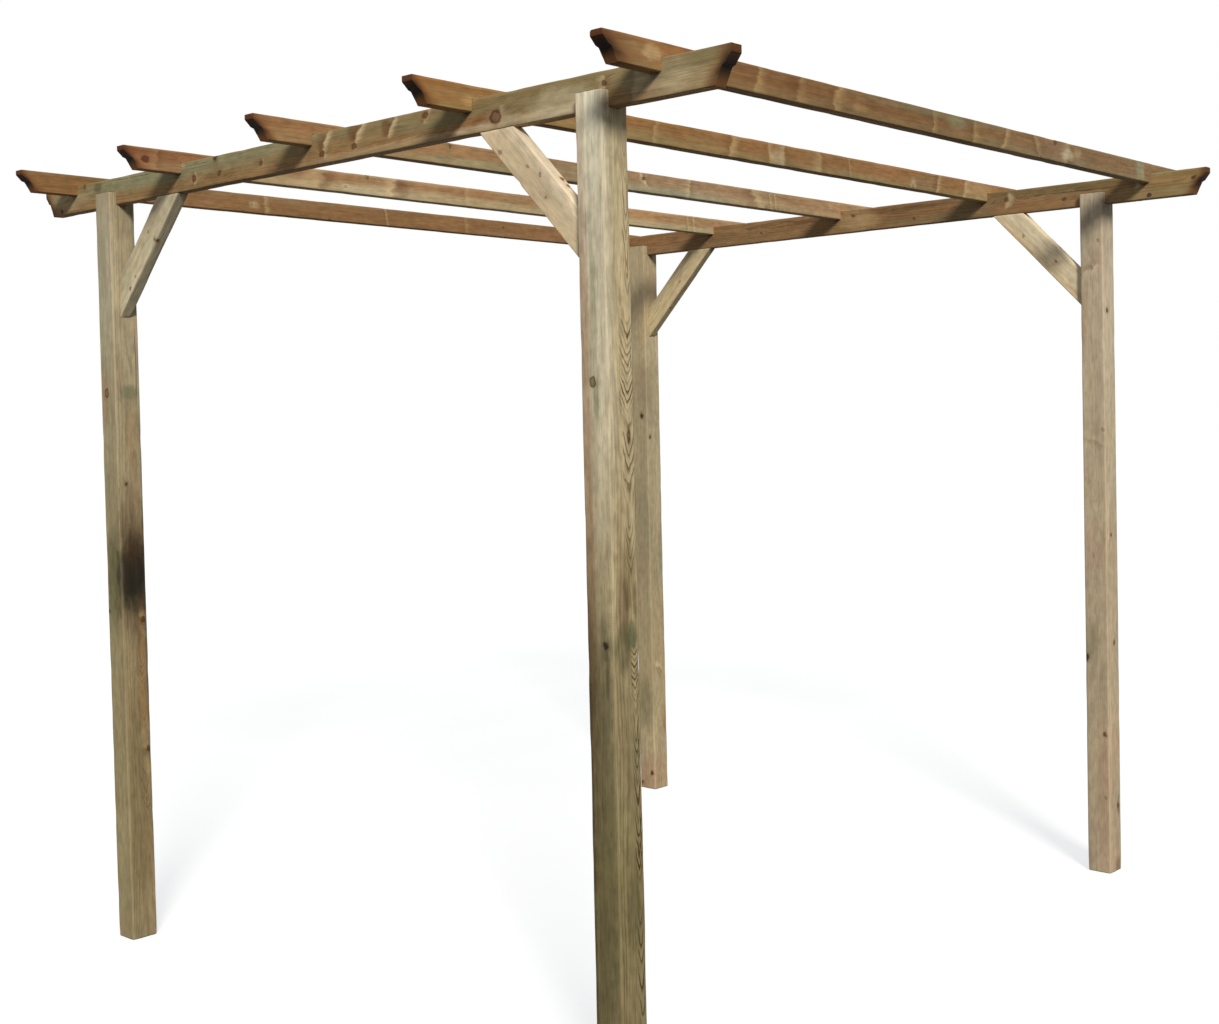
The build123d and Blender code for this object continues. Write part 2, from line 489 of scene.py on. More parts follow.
describe(
    "rafter_3", sap=(162, 135, 95), late=(114, 86, 54), heart_colour=(158, 120, 82),
    pith=(4, 22), rings=3.6, heart=38, contrast=0.26, green=0.30, pink=0.15, soak=30,
    tint=(
        (-1.5, (0.86, 0.77, 0.70)), (-0.75, (1.14, 1.14, 1.14)), (-0.4, (1.0, 1.02, 1.02)),
        (0.3, (1.14, 1.27, 1.52)), (1.0, (1.06, 1.12, 1.22)), (1.5, (1.3, 1.42, 1.58)),
    ),
    knots=("right", (86, -14, 6, "brown", 1.6)),
    curls=("right", (86, -10, -30, 24, 0.8)),
    bands=((338, -40, 0.7), (725, 90, 0.9, 0.6), (819, 16, 0.7), (851, 16, 0.7), (-520, 40, 0.4)),
    stains=("right", (-700, 20, 500, 24, GREEN, 0.35), (200, 24, 700, 20, GREEN, 0.35)),
    cracks=("top", (-4, -1200, -200, 0.8, 5.0), "left", (6, 0, 900)),
)
describe(
    "rafter_4", sap=(170, 148, 108), late=(114, 84, 52), heart_colour=(156, 112, 72),
    pith=(4, 20), rings=3.4, heart=40, contrast=0.26, green=0.20, pink=0.20, soak=24,
    tint=(
        (-1.5, (0.72, 0.52, 0.46)), (-1.05, (1.04, 1.02, 1.04)), (-0.5, (1.2, 1.27, 1.42)),
        (-0.1, (1.12, 1.15, 1.22)), (0.3, (1.2, 1.27, 1.34)), (0.6, (1.42, 1.5, 1.62)),
        (1.0, (1.2, 1.3, 1.42)), (1.5, (1.3, 1.42, 1.5)),
    ),
    knots=("right", (-1462, 2, 9, "red", 1.2), (-700, 14, 5, "pale", 2.0)),
    bands=(
        (-1425, -36, 0.6), (-807, -110, 0.9, 0.6), (-492, -90, 0.9, 0.3), (-150, 40, 0.4), (1120, 18, 0.6),
        (1160, 18, 0.6),
    ),
    stains=(
        "right", (-620, 22, 300, 24, CREAM, 0.25), (-1462, 2, 60, 40, PINK, 0.5),
        (-790, -4, 60, 60, BROWN, 0.35), (-450, -8, 56, 70, BROWN, 0.4),
    ),
    cracks=("top", (0, 200, 1200, 0.8, 5.0), "left", (-8, -1000, -200)),
)
describe(
    "rafter_5", sap=(148, 110, 74), late=(104, 70, 42), heart_colour=(148, 104, 66),
    pith=(8, -20), rings=3.2, heart=52, contrast=0.28, green=0.08, pink=0.20, soak=20,
    tint=((-1.5, (0.90, 0.97, 0.88)), (0.0, (0.98, 1.10, 1.12)), (1.5, (0.95, 1.0, 1.0))),
    knots=("right", (-640, 4, 5, "pale", 1.6), (640, -8, 5, "brown", 1.4)),
    bands=((-583, 30, 0.6), (-7, 18, 0.6), (420, 30, 0.3)),
    stains=("right", (-625, 4, 30, 24, TAN, 0.4)),
    cracks=("top", (0, -700, 500, 0.8, 5.0), "left", (4, 300, 1200)),
)
describe(
    "brace_front_right", sap=(224, 202, 166), late=(180, 152, 112), heart_colour=(218, 196, 158),
    pith=(-60, 30), rings=4.0, heart=60, contrast=0.25, green=0.10, pink=0.2, streaks=0.6,
    tint=((-0.27, (1.0, 1.0, 0.99)), (0.27, (1.04, 1.04, 1.04))),
    knots=(
        "front", (165, -32, 5, "faint"), (64, 5, 3.5, "faint"), (12, 18, 4, "faint", 1.6),
        "upper", (-33, 8, 5, "red", 0.8), (-61, 9, 4, "red", 0.8),
        "front", (-40, -11, 3, "faint"),
    ),
    chips=(
        ("front", "upper", -48, 60, 5), ("front", "upper", -170, 130, 11), ("front", "lower", 61, 26, 5),
    ),
    stains=(
        "front", (60, 22, 90, 40, CREAM, 0.4), (-60, 10, 160, 30, GREEN, 0.2),
        "upper", (0, 0, 700, 60, BLEACHED, 0.25),
    ),
    cracks=("back", (8, -150, 60, 0.7, 4.0)),
)
describe(
    "brace_front_left", sap=(204, 188, 154), late=(156, 130, 94), heart_colour=(202, 176, 138),
    pith=(-60, -20), rings=4.0, heart=60, contrast=0.35, green=0.3, pink=0.2,
    tint=((-0.27, (0.88, 0.92, 0.92)), (0.27, (0.92, 0.95, 0.96))),
    knots=("front", (-100, 26, 3.5, "faint"), (-150, 30, 4, "brown"), (60, -10, 4, "pale", 2.0)),
    stains=("front", (-60, 0, 90, 50, CREAM, 0.5), "lower", (0, 0, 700, 60, PALE, 0.9)),
    cracks=("back", (-8, -100, 100, 0.7, 4.0)),
)
describe(
    "brace_back_right", sap=(232, 216, 180), late=(186, 158, 114), heart_colour=(226, 202, 160),
    pith=(-50, 40), rings=5.0, heart=46, contrast=0.4, green=0.05, pink=0.1,
    tint=((-0.27, (1.0, 1.0, 1.0)), (0.27, (1.0, 1.0, 1.0))),
    knots=("front", (-60, 4, 4, "faint", 3.0), (110, -16, 4, "faint", 2.0)),
    curls=("front", (-60, 4, 30, 30, 0.4, 0.6)),
    stains=("front", (-70, 8, 90, 50, CREAM, 0.4)),
    cracks=("back", (10, -60, 140, 0.7, 4.0)),
)
describe(
    "brace_back_left", sap=(206, 186, 144), late=(158, 130, 86), heart_colour=(200, 166, 120),
    pith=(-46, -34), rings=4.2, heart=50, contrast=0.4, green=0.15, pink=0.15,
    tint=((-0.27, (1.0, 1.0, 0.98)), (0.27, (1.04, 1.04, 1.04))),
    knots=("front", (40, 12, 4, "faint", 1.6)),
    stains=("front", (0, -10, 200, 30, CREAM, 0.3)),
    cracks=("back", (0, -140, 40, 0.7, 4.0)),
)

# Sides that get knots of their own beyond those listed, and how far apart along the timber
UNLISTED_KNOTS = {
    "post": (("back", "left"), 560),
    "beam": (("back", "top", "under"), 620),
    "rafter": (("left", "top", "under"), 700),
    "brace": (("back", "lower"), 260),
}


def all_knots(timber, look, seed):
    """The listed knots, and others drawn at random for the remaining sides. Metres."""
    chance = random.Random(seed)
    knots = []
    for side, along, across, radius, core, swirl in look["knots"]:
        knots.append(Knot(side, along * MM, across * MM, radius * MM, core, swirl))
    sides, apart = UNLISTED_KNOTS[timber.kind]
    margin = 120 * MM
    for side in sides:
        along = timber.start + margin * chance.uniform(0.5, 2.5)
        while along < timber.end - margin:
            reach = timber.half_across(side) * 0.75
            core = chance.choice(("brown", "brown", "red", "black", "pale"))
            radius = chance.uniform(4, 9) * MM
            across = chance.uniform(-reach, reach)
            knots.append(Knot(side, along, across, radius, core, chance.uniform(1.0, 2.2)))
            along += apart * MM * chance.uniform(0.6, 1.5)
    return knots


# ------------------------------------------------------------------ meshes

def spaced(low, high, pitch, exact=()):
    """Evenly spaced values from low to high, that also hold the exact ones."""
    count = max(1, math.ceil((high - low) / pitch))
    exact = sorted(value for value in exact if low < value < high)
    kept = [low + (high - low) * step / count for step in range(count + 1)]
    kept = [v for v in kept if v in (low, high) or all(abs(v - e) > pitch * 0.4 for e in exact)]
    return sorted(kept + exact)


def section(timber, cracks):
    """Points round the timber, and for each its side and its place across that side.

    They run from the +Y side to +Z, -Y and -Z, and each side's corner follows it.
    """
    points, labels = [], []
    for normal in ((1, 0), (0, 1), (-1, 0), (0, -1)):
        out, side = np.array(normal, float), np.array((-normal[1], normal[0]), float)
        through, half = (timber.half_y, timber.half_z) if normal[0] else (timber.half_z, timber.half_y)
        flat = half - timber.edge_radius
        exact = []
        for crack in cracks:
            if tuple(timber.normal(crack.side))[1:] == normal:
                exact += [(crack.across + step * crack.width) * MM for step in (-1, 0, 1)]
        if timber.kind == "post" and normal[1]:
            exact += [-FORK_HALF_WIDTH, FORK_HALF_WIDTH]
        for across in spaced(-flat, flat, ACROSS_PITCH, exact):
            points.append(out * through + side * across)
            labels.append((normal, across))
        centre = out * (through - timber.edge_radius) + side * flat
        for step in range(1, CORNER_STEPS):
            angle = math.pi / 2 * step / CORNER_STEPS
            points.append(centre + timber.edge_radius * (out * math.cos(angle) + side * math.sin(angle)))
            labels.append((normal, half))
    return np.array(points), labels


class Skin:
    """Faces as they are laid out, with their places on the baking map."""

    def __init__(self, shelf):
        self.points, self.faces, self.spots = [], [], []
        self.count = 0
        self.shelf = np.array((0.0, shelf))

    def sheet(self, points, flat, moves=None):
        """Adds a grid of points as four-sided faces. moves shifts each row of faces on the map."""
        rows, columns = points.shape[:2]
        number = np.arange(rows * columns).reshape(rows, columns)
        corners = np.stack((number[:-1, :-1], number[1:, :-1], number[1:, 1:], number[:-1, 1:]), axis=-1)
        corners = corners.reshape(-1, 4)
        spots = flat.reshape(-1, 2)[corners]
        if moves is not None:
            spots = spots + np.repeat(moves, columns - 1, axis=0)[:, None, :]
        self.add(points.reshape(-1, 3), corners, spots.reshape(-1, 2))

    def add(self, points, corners, spots):
        self.faces.extend((np.asarray(corners) + self.count).tolist())
        self.points.append(points)
        self.spots.append(spots)
        self.count += len(points)

    def shelve(self, flat):
        """Moves a small part's map to a free place."""
        placed = flat - flat.reshape(-1, 2).min(0) + self.shelf
        self.shelf[0] = placed[..., 0].max() + MAP_GAP
        return placed

    def polygon(self, points):
        flat = self.shelve(points[:, 1:])
        self.add(points, [list(range(len(points)))], flat)

    def cap(self, loop, heading, edge, slope=0.0):
        """Closes a loop with a flat end that has rounded edges. slope is how X grows with Z."""
        low, high = loop.min(0), loop.max(0)
        middle, half = (low + high) / 2, (high - low) / 2
        steps = [(0, 0), (0.3 * edge, 0.7 * edge), (edge, edge)]
        deepest = 0.88 * min(half[1:])
        steps += [(edge + (deepest - edge) * step / CAP_RINGS, edge) for step in range(1, CAP_RINGS + 1)]
        rings = []
        for inset, rise in steps:
            ring = loop.copy()
            ring[:, 1:] = middle[1:] + (loop[:, 1:] - middle[1:]) * (1 - inset / half[1:])
            ring[:, 0] += slope * (ring[:, 2] - loop[:, 2]) + heading * rise
            rings.append(ring)
        grid = np.array([np.vstack((ring, ring[:1])) for ring in rings])
        flat = self.shelve(grid[..., 1:])
        self.sheet(grid, flat)
        self.add(rings[-1], [list(range(len(loop)))], flat[-1, :-1])

    def mesh(self, name):
        mesh = bpy.data.meshes.new(name)
        mesh.from_pydata(np.concatenate(self.points).tolist(), [], self.faces)
        spots = np.concatenate(self.spots)
        spots = (spots - spots.min(0)) / (spots.max(0) - spots.min(0)).max()
        mesh.uv_layers.new(name="OFBake").data.foreach_set("uv", spots.astype(np.float32).ravel())
        work = bmesh.new()
        work.from_mesh(mesh)
        bmesh.ops.remove_doubles(work, verts=work.verts, dist=0.01 * MM)
        bmesh.ops.recalc_face_normals(work, faces=work.faces)
        work.to_mesh(mesh)
        work.free()
        return mesh


def lift(timber, along):
    """How far the lower side is cut up, at places along the timber."""
    raised = np.zeros_like(along)
    if timber.kind in ("beam", "rafter"):
        shares, depths = zip(*END_PROFILE)
        inward = (timber.end - np.abs(along)) / END_SETBACK
        raised = np.interp(inward, shares, depths) * 2 * timber.half_z
    if timber.kind == "rafter":
        inside = np.abs(np.abs(along) - BEAM_OFFSET) < NOTCH_HALF_WIDTH
        raised = np.where(inside, NOTCH_DEPTH, raised)
    return raised


def stations(timber):
    """Places along the timber where its mesh has a loop of points."""
    start, end = timber.start, timber.end
    if timber.kind == "post":
        return spaced(start + FOOT_EDGE, end - FORK_DEPTH, ALONG_PITCH, (start + 2 * FOOT_EDGE,))
    if timber.kind == "brace":
        return spaced(start + SAW_EDGE, end - SAW_EDGE, ALONG_PITCH)
    exact = []
    if timber.kind == "rafter":
        for place in (BEAM_OFFSET - NOTCH_HALF_WIDTH, BEAM_OFFSET + NOTCH_HALF_WIDTH):
            exact += [place - NOTCH_SLACK, place + NOTCH_SLACK]
    profile = [end - share * END_SETBACK for share, _ in END_PROFILE[1:]]
    half = spaced(0, end - END_SETBACK, ALONG_PITCH, exact)
    half += spaced(end - END_SETBACK, end - SAW_EDGE, END_PITCH, profile)[1:]
    return [-value for value in reversed(half[1:])] + half


def tube(timber, ring, places):
    """The timber's sides at each place: a grid of points, one row for each place."""
    along = np.repeat(np.asarray(places)[:, None], len(ring), axis=1)
    y = np.repeat(ring[None, :, 0], len(places), axis=0)
    z = np.repeat(ring[None, :, 1], len(places), axis=0)
    raised = lift(timber, along)
    z = timber.half_z - (timber.half_z - z) * (1 - raised / (2 * timber.half_z))
    if timber.kind == "brace":
        along = along * (1 + z / timber.end)
    return np.stack((along, y, z), axis=-1)


def lengths_along(points):
    """Distance along a line of points to each of them."""
    steps = np.linalg.norm(np.diff(points, axis=0), axis=1)
    return np.concatenate(((0.0,), np.cumsum(steps)))


def spread(places, girth):
    """The map of a grid whose rows are at the places and whose columns are at the lengths round it."""
    return np.stack(np.broadcast_arrays(np.asarray(places)[:, None], girth[None, :]), axis=-1)


def lay_sides(skin, timber, closed, girth, places, strips):
    """The sides, folded on the baking map into a few strips."""
    points = tube(timber, closed, places)
    strip_length = (places[-1] - places[0]) / strips
    number = np.minimum((np.asarray(places[:-1]) - places[0]) // strip_length, strips - 1)
    moves = np.stack((-number * strip_length, number * (girth[-1] + MAP_GAP)), axis=-1)
    skin.sheet(points, spread(places, girth), moves)
    return points[:, :-1]


def lay_fork(skin, timber, ring, labels):
    """The top of a post: two tongues with a slot between them."""
    shoulder, top = timber.end - FORK_DEPTH, timber.end
    levels = spaced(shoulder, top - SAW_EDGE, ACROSS_PITCH)
    walls = {}
    for hand in (1, -1):
        first = labels.index(((0, -hand), FORK_HALF_WIDTH))
        last = labels.index(((0, hand), -FORK_HALF_WIDTH))
        if last < first:
            last += len(ring)
        order = [index % len(ring) for index in range(first, last + 1)]
        outer = tube(timber, ring[order], levels)
        drop = outer[0, -1, 2], outer[0, 0, 2]
        wall_z = np.linspace(drop[0], drop[1], round(2 * timber.half_z / ACROSS_PITCH))
        wall = np.array([[(level, hand * FORK_HALF_WIDTH, z) for z in wall_z] for level in levels])
        for points in (outer, wall):
            skin.sheet(points, skin.shelve(spread(levels, lengths_along(points[0]))))
        skin.cap(np.vstack((outer[-1], wall[-1, 1:-1])), 1, SAW_EDGE)
        walls[hand] = wall[0]
    between = []
    for hand in (1, -1):
        first = labels.index(((0, hand), -FORK_HALF_WIDTH))
        last = labels.index(((0, hand), FORK_HALF_WIDTH))
        between.append(tube(timber, ring[first:last + 1], [shoulder])[0])
    skin.polygon(np.vstack((between[0], walls[-1][::-1][1:-1], between[1], walls[1][::-1][1:-1])))


def timber_mesh(timber, look):
    ring, labels = section(timber, look["cracks"])
    closed = np.vstack((ring, ring[:1]))
    girth = lengths_along(closed)
    strips = max(1, round(math.sqrt((timber.end - timber.start) / girth[-1])))
    skin = Skin(strips * (girth[-1] + MAP_GAP))
    sides = lay_sides(skin, timber, closed, girth, stations(timber), strips)
    if timber.kind == "post":
        skin.cap(sides[0], -1, FOOT_EDGE)
        lay_fork(skin, timber, ring, labels)
    else:
        slope = 1.0 if timber.kind == "brace" else 0.0
        skin.cap(sides[0], -1, SAW_EDGE, -slope)
        skin.cap(sides[-1], 1, SAW_EDGE, slope)
    return skin.mesh(timber.name + "_timber")


def noise(points, size, seed):
    """Smooth noise from -1 to 1 at each point, with lumps of the given size along each axis."""
    cells = 32
    table = np.random.default_rng(seed).uniform(-1, 1, (cells, cells, cells))
    scaled = points / np.asarray(size) + cells
    cell = np.floor(scaled).astype(int)
    part = scaled - cell
    part = part * part * (3 - 2 * part)
    total = np.zeros(len(points))
    for corner in itertools.product((0, 1), repeat=3):
        weight = np.prod(np.where(corner, part, 1 - part), axis=1)
        index = (cell + corner) % cells
        total += weight * table[index[:, 0], index[:, 1], index[:, 2]]
    return total


def read(items, field, width):
    values = np.empty(len(items) * width, np.float32)
    items.foreach_get(field, values)
    return values.reshape(-1, width).astype(float)


def wear_down(timber, base, out, seed):
    """Wears the arrises unevenly, and the foot of a post. out is how far each point moves outward."""
    gap = (timber.half_y - np.abs(base[:, 1])) + (timber.half_z - np.abs(base[:, 2]))
    near_edge = np.clip(1 - gap / (2.0 * timber.edge_radius), 0, 1)
    bites = np.clip(noise(base, (0.07, 0.5, 0.5), seed + 3) + 0.15, 0, 1) ** 1.5
    out -= near_edge * bites * ARRIS_WEAR
    if timber.kind == "post":
        foot = np.clip(1 - base[:, 0] / FOOT_WORN, 0, 1)
        out -= foot * (0.4 + 0.6 * np.abs(noise(base, 0.02, seed + 4))) * FOOT_WEAR


def tear_off(timber, chips, base, seed):
    """Gives each point's move where wood is torn off an arris."""
    along = base[:, 0]
    torn = np.zeros_like(base)
    for number, chip in enumerate(chips):
        first, second = (np.array(timber.normal(side)) for side in (chip.first, chip.second))
        below = timber.half_through(chip.first) + timber.half_through(chip.second) - base @ (first + second)
        near = np.clip(1 - below / (3.0 * chip.depth * MM), 0, 1)
        share = np.sqrt(np.clip(1 - np.abs(along - chip.along * MM) / (chip.length / 2 * MM), 0, 1))
        ragged = 0.8 + 0.5 * noise(base, (0.02, 0.006, 0.006), seed + 60 + number)
        torn -= (near * share * ragged * chip.depth * MM)[:, None] * (first + second) * math.sqrt(0.5)
    return torn


def raise_knots(timber, knots, base, normals, out):
    """Knots stand a little proud, with a shrunken rim."""
    for knot in knots:
        facing = normals @ np.array(timber.normal(knot.side)) > 0.6
        size = np.array(timber.measures(knot.side, 1.4 * knot.radius, knot.radius, 4 * knot.radius))
        centre = np.array(timber.place(knot.side, knot.along, knot.across))
        reach = np.linalg.norm((base - centre) / size, axis=1)
        bump = 0.5 * np.exp(-(reach / 0.8) ** 2) - 0.4 * np.exp(-((reach - 1.1) / 0.25) ** 2)
        out += np.where(facing, bump * MM, 0)


def open_cracks(timber, cracks, base, normals, out, seed):
    """Drying cracks open along the grain and wander a little.

    Gives each point's move to the side, and how open the crack is there.
    """
    along = base[:, 0]
    open_crack = np.zeros(len(base))
    moved = np.zeros_like(base)
    for number, crack in enumerate(cracks):
        facing = normals @ np.array(timber.normal(crack.side)) > 0.8
        sideways = np.array(timber.sideways(crack.side))
        offset = base @ sideways - crack.across * MM
        close = np.where(facing, np.clip(1 - np.abs(offset) / CRACK_REACH, 0, 1), 0)
        line = np.zeros_like(base)
        line[:, 0] = along
        wander = noise(line, 0.16, seed + 20 + number) * CRACK_WANDER
        moved += (close * wander)[:, None] * sideways
        fade = np.clip((along - crack.start * MM) / CRACK_FADE, 0, 1)
        fade = fade * np.clip((crack.end * MM - along) / CRACK_FADE, 0, 1)
        fade = fade * np.clip(0.75 + 0.6 * noise(line, 0.06, seed + 40 + number), 0.1, 1)
        middle = facing & (np.abs(offset) < 0.2 * crack.width * MM)
        out -= np.where(middle, fade * crack.depth * MM, 0)
        open_crack = np.where(middle, fade, open_crack)
    return moved, open_crack


def weather(mesh, timber, look, knots, seed):
    """Moves the surface as sawing, drying and wear do, and marks cracks and end grain."""
    ends = np.abs(read(mesh.polygons, "normal", 3)[:, 0]) > 0.3
    grain = mesh.attributes.new("end_grain", "FLOAT", "FACE")
    grain.data.foreach_set("value", ends.astype(np.float32))

    base = read(mesh.vertices, "co", 3)
    normals = read(mesh.vertex_normals, "vector", 3)
    end_on = np.abs(normals[:, 0]) > 0.5
    out = WAVE * noise(base, (0.30, 0.05, 0.05), seed)
    out += SAW_MARKS * noise(base, (0.040, 0.007, 0.007), seed + 1)
    out += np.where(end_on, END_MARKS * noise(base, (0.01, 0.004, 0.012), seed + 2), 0)
    wear_down(timber, base, out, seed)
    torn = tear_off(timber, look["chips"], base, seed)
    raise_knots(timber, knots, base, normals, out)
    moved, open_crack = open_cracks(timber, look["cracks"], base, normals, out, seed)

    # Seasoned timber is never quite straight
    span = (base[:, 0] - timber.start) / (timber.end - timber.start)
    if timber.kind in ("post", "rafter"):
        moved[:, 1] += np.sin(math.pi * np.clip(span, 0, 1)) * BOW * (1 if seed % 2 else -1)

    placed = base + moved + torn + normals * out[:, None]
    mesh.vertices.foreach_set("co", placed.astype(np.float32).ravel())
    crack_layer = mesh.attributes.new("crack", "FLOAT", "POINT")
    crack_layer.data.foreach_set("value", open_crack.astype(np.float32))
    mesh.polygons.foreach_set("use_smooth", np.ones(len(mesh.polygons), bool))
    mesh.set_sharp_from_angle(angle=math.radians(38))
    mesh.update()


# ------------------------------------------------------------------ materials

class Graph:
    """Short ways to add shader nodes and link them."""

    def __init__(self, tree):
        self.tree = tree

    def node(self, kind, *values, **settings):
        node = self.tree.nodes.new("ShaderNode" + kind)
        for name, value in settings.items():
            setattr(node, name, value)
        for socket, value in zip(node.inputs, values):
            self.put(socket, value)
        return node

    def put(self, socket, value):
        if isinstance(value, bpy.types.NodeSocket):
            self.tree.links.new(value, socket)
        elif value is not None:
            socket.default_value = value

    def math(self, operation, *values):
        return self.node("Math", *values, operation=operation).outputs[0]

    def times(self, *values):
        return self.math("MULTIPLY", *values)

    def add_scaled(self, value, factor, base):
        """base + factor * value"""
        return self.math("MULTIPLY_ADD", value, factor, base)

    def vector(self, operation, *values):
        node = self.node("VectorMath", *values, operation=operation)
        return node.outputs["Value" if operation in ("LENGTH", "DOT_PRODUCT") else "Vector"]

    def reach(self, point, centre, scale):
        """Distance from the centre, after scaling each axis."""
        return self.vector("LENGTH", self.vector("MULTIPLY", self.vector("SUBTRACT", point, centre), scale))

    def ease(self, value, low, high, start=0.0, end=1.0):
        """Goes smoothly from start to end as the value goes from low to high."""
        settings = {"interpolation_type": "SMOOTHSTEP", "clamp": False}
        return self.node("MapRange", value, low, high, start, end, **settings).outputs[0]

    def fade(self, value, low, high, start=1.0):
        return self.ease(value, low, high, start, 0.0)

    def noise(self, point, along, across, detail, shift, output="Fac"):
        """Noise whose lumps are 1 / along long and 1 / across wide."""
        scale = (along, across, across)
        placed = self.node("Mapping", point, (shift, shift * 1.7, shift * 0.6), None, scale)
        node = self.node("TexNoise", placed.outputs[0])
        node.inputs["Scale"].default_value = 1.0
        node.inputs["Detail"].default_value = detail
        return node.outputs[output]

    def mix(self, factor, first, second, blend="MIX"):
        node = self.node("Mix", data_type="RGBA", blend_type=blend)
        for index, value in ((0, factor), (6, first), (7, second)):
            self.put(node.inputs[index], value)
        return node.outputs[2]

    def scaled(self, colour, factor):
        return self.node("HueSaturation", 0.5, 1.0, factor, 1.0, colour).outputs[0]

    def group(self, group, *values):
        node = self.tree.nodes.new("ShaderNodeGroup")
        node.node_tree = group
        for socket, value in zip(node.inputs, values):
            self.put(socket, value)
        return node.outputs[0]


SOCKETS = {"float": "NodeSocketFloat", "vector": "NodeSocketVector", "colour": "NodeSocketColor"}


def make_group(name, work, output, **inputs):
    """A node group in which work makes the output from the inputs, each given with its kind."""
    tree = bpy.data.node_groups.new(name, "ShaderNodeTree")
    for title, kind in inputs.items():
        tree.interface.new_socket(name=title, in_out="INPUT", socket_type=SOCKETS[kind])
    tree.interface.new_socket(name="result", in_out="OUTPUT", socket_type=SOCKETS[output])
    given = tree.nodes.new("NodeGroupInput").outputs
    result = work(Graph(tree), **{title: given[title] for title in inputs})
    tree.links.new(result, tree.nodes.new("NodeGroupOutput").inputs[0])
    return tree


def swirl(g, ring, point, centre, scale, height):
    """Rings swell round a knot, so that the grain flows past it."""
    reach = g.reach(point, centre, scale)
    bell = g.math("EXPONENT", g.times(g.times(reach, reach), -1.0))
    return g.add_scaled(bell, height, ring)


def paint_knot(g, colour, point, centre, scale, core, rim, near):
    """The knot itself: its own small rings, a dark rim and a stained halo."""
    reach = g.reach(point, centre, scale)
    halo = g.fade(reach, 0.9, 2.8, 0.55)
    colour = g.mix(halo, colour, near)
    rings = g.add_scaled(g.math("SINE", g.times(reach, 17.0)), 0.16, 0.2)
    inside = g.mix(rings, core, rim)
    colour = g.mix(g.fade(reach, 0.6, 1.15, 0.9), colour, inside)
    edge = g.times(g.ease(reach, 0.55, 0.95), g.fade(reach, 1.0, 1.4))
    return g.mix(g.times(edge, 0.7), colour, rim)


def paint_stain(g, colour, point, centre, scale, ragged, stain, strength):
    """A soft patch of another colour, with a ragged edge."""
    reach = g.add_scaled(ragged, 0.9, g.reach(point, centre, scale))
    cover = g.times(g.fade(reach, 0.55, 1.5), strength)
    return g.mix(cover, colour, stain)


def paint_curl(g, colour, point, centre, heading, scale, ragged, strength, dark, pale):
    """Grain that dips round a whorl of branches: brown up to a ragged line, then pale; partly its colour,
    partly painted shade and sheen.
    """
    offset = g.vector("SUBTRACT", point, centre)
    reach = g.add_scaled(ragged, 0.9, g.vector("DOT_PRODUCT", offset, heading))
    inside = g.fade(g.vector("LENGTH", g.vector("MULTIPLY", offset, scale)), 0.55, 1.2)
    inside = g.times(inside, strength)
    before = g.times(g.ease(reach, -1.1, -0.1), g.fade(reach, -0.2, 0.1))
    after = g.times(g.ease(reach, -0.2, 0.1), g.fade(reach, 0.0, 0.9))
    shade = g.times(g.times(before, inside), 0.40)
    light = g.times(g.times(after, inside), 0.75)
    return g.mix(light, g.mix(shade, colour, dark), pale)


knot_swirl = make_group("knot_swirl", swirl, "float", ring="float", point="vector", centre="vector",
                        scale="vector", height="float")
knot_paint = make_group("knot_paint", paint_knot, "colour", colour="colour", point="vector",
                        centre="vector", scale="vector", core="colour", rim="colour", near="colour")
stain_paint = make_group("stain", paint_stain, "colour", colour="colour", point="vector", centre="vector",
                         scale="vector", ragged="float", stain="colour", strength="float")
grain_curl = make_group("grain_curl", paint_curl, "colour", colour="colour", point="vector",
                        centre="vector", heading="vector", scale="vector", ragged="float",
                        strength="float", dark="colour", pale="colour")


def ring_field(g, timber, look, knots, point, bent, seed):
    """Distance from the pith, which wanders along the tree, as the growth rings see it."""
    along = g.node("SeparateXYZ", point).outputs[0]
    drift_y, drift_z = (g.noise(point, 1.3, 0, 1.0, seed * 3.1 + axis) for axis in (0, 40))
    pith_y, pith_z = (value * MM - 0.5 * PITH_DRIFT for value in look["pith"])
    pith_y = g.add_scaled(drift_y, PITH_DRIFT, pith_y)
    pith_z = g.add_scaled(drift_z, PITH_DRIFT, pith_z)
    level = g.vector("MULTIPLY", point, (0, 1, 1))
    pith = g.node("CombineXYZ", None, pith_y, pith_z).outputs[0]
    ring = g.vector("LENGTH", g.vector("SUBTRACT", level, pith))
    ripple = g.noise(point, 6, 34, 3.0, seed * 1.3)
    ring = g.add_scaled(ripple, RIPPLE, ring)
    wobble = g.noise(point, 34, 105, 2.0, seed * 1.9)
    ring = g.add_scaled(wobble, WOBBLE, ring)
    for knot in knots:
        scale = timber.scales(knot.side, 5.2 * knot.radius, 2.3 * knot.radius, 3.5 * knot.radius)
        centre = timber.place(knot.side, knot.along, knot.across)
        height = 0.75 * knot.swirl * knot.radius
        ring = g.group(knot_swirl, ring, bent, tuple(centre), scale, height)
    return ring, along, wobble


def late_wood(g, count, contrast):
    """How much each point is late wood: a ring darkens to a sharp outer edge, and no two are alike."""
    share = g.math("FRACT", count)
    chance = g.node("TexWhiteNoise", None, g.math("FLOOR", count), noise_dimensions="1D").outputs["Value"]
    late = g.times(g.ease(share, 0.38, 0.90), g.fade(share, 0.92, 1.0))
    return g.times(late, g.add_scaled(chance, 0.9 * contrast, 0.35 * contrast))


